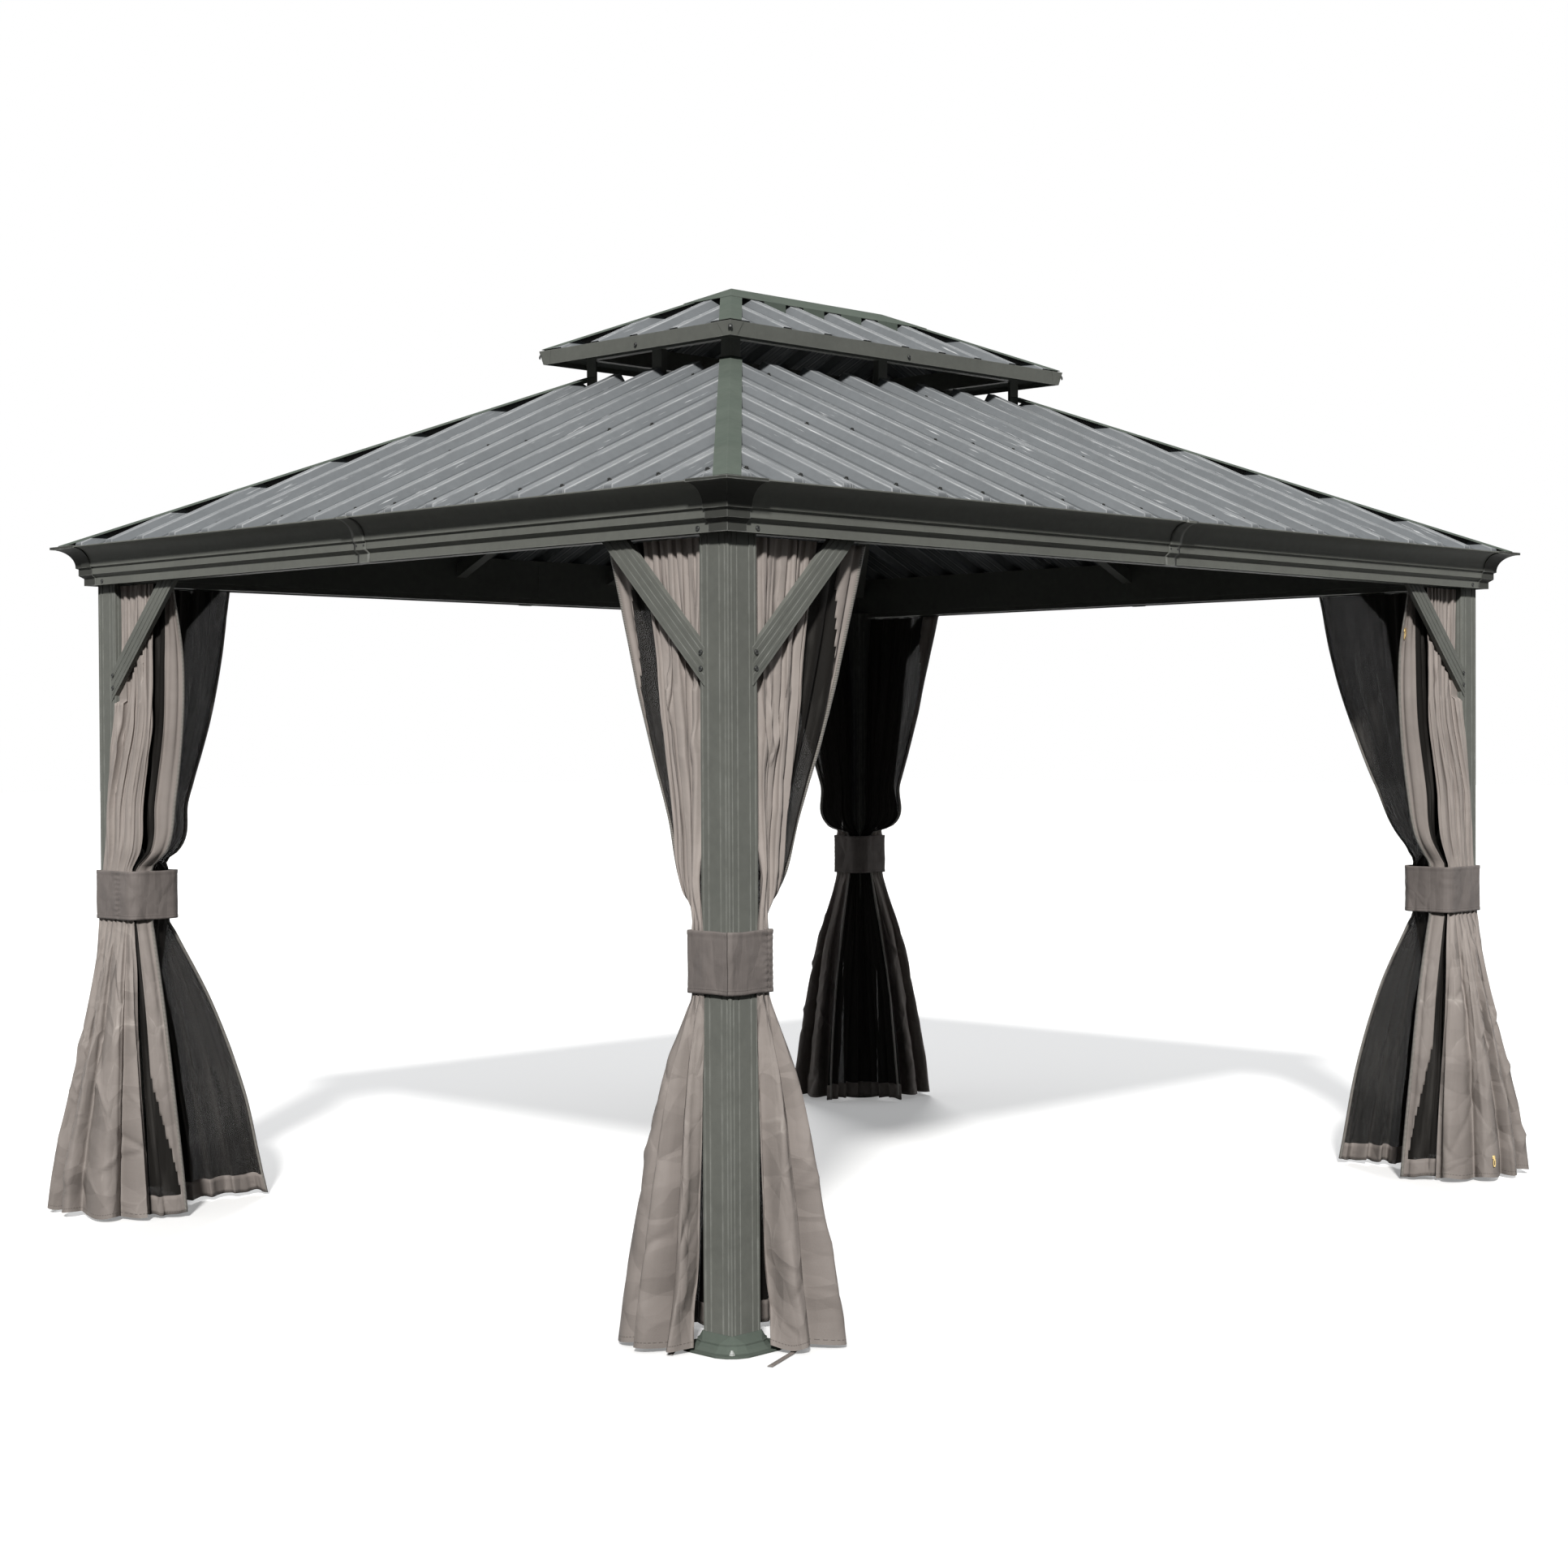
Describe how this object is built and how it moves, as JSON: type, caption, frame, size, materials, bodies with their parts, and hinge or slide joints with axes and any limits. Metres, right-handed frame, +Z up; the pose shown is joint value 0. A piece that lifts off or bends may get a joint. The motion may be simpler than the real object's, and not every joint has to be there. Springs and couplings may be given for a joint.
{
  "type": "hardtop garden gazebo",
  "caption": "Rectangular garden shelter with a two-tier ribbed metal hip roof on fluted posts, moulded eaves, knee braces, and curtains with nets tied back at the corners.",
  "frame": {"origin": "ground level at the middle of the plan", "axes": "+X along the long eave, +Y towards the back long eave, +Z up; the front long side faces -Y"},
  "size_m": [3.766, 3.076, 2.8155],
  "materials": {
    "frame_coat": "satin dark grey powder coat",
    "roof_coat": "satin grey coil coat, dusty",
    "curtain_cloth": "matt woven polyester, taupe",
    "mosquito_net": "matt black open mesh"
  },
  "bodies": {
    "root": {"corner_covers": "frame_coat", "curtain_back_left": "curtain_cloth", "curtain_back_right": "curtain_cloth", "curtain_front_left": "curtain_cloth", "curtain_front_right": "curtain_cloth", "curtain_rails": "frame_coat", "eave_beam_back": "frame_coat", "eave_beam_front": "frame_coat", "eave_beam_left": "frame_coat", "eave_beam_right": "frame_coat", "foot_back_left": "frame_coat", "foot_back_right": "frame_coat", "foot_front_left": "frame_coat", "foot_front_right": "frame_coat", "knee_braces": "frame_coat", "lower_hip_caps": "roof_coat", "lower_hip_rafters": "frame_coat", "lower_purlins": "frame_coat", "lower_rafters": "frame_coat", "lower_roof_back": "roof_coat", "lower_roof_front": "roof_coat", "lower_roof_left": "roof_coat", "lower_roof_right": "roof_coat", "net_back_left": "mosquito_net", "net_back_right": "mosquito_net", "net_front_left": "mosquito_net", "net_front_right": "mosquito_net", "post_back_left": "frame_coat", "post_back_right": "frame_coat", "post_front_left": "frame_coat", "post_front_right": "frame_coat", "tie_bands": "curtain_cloth", "upper_corner_plates": "frame_coat", "upper_edge_trims": "frame_coat", "upper_hip_caps": "roof_coat", "upper_rafters": "frame_coat", "upper_ridge_cap": "roof_coat", "upper_ring": "frame_coat", "upper_roof_back": "roof_coat", "upper_roof_front": "roof_coat", "upper_roof_left": "roof_coat", "upper_roof_right": "roof_coat", "vent_ring": "frame_coat", "vent_struts": "frame_coat"}
  },
  "joints": []
}
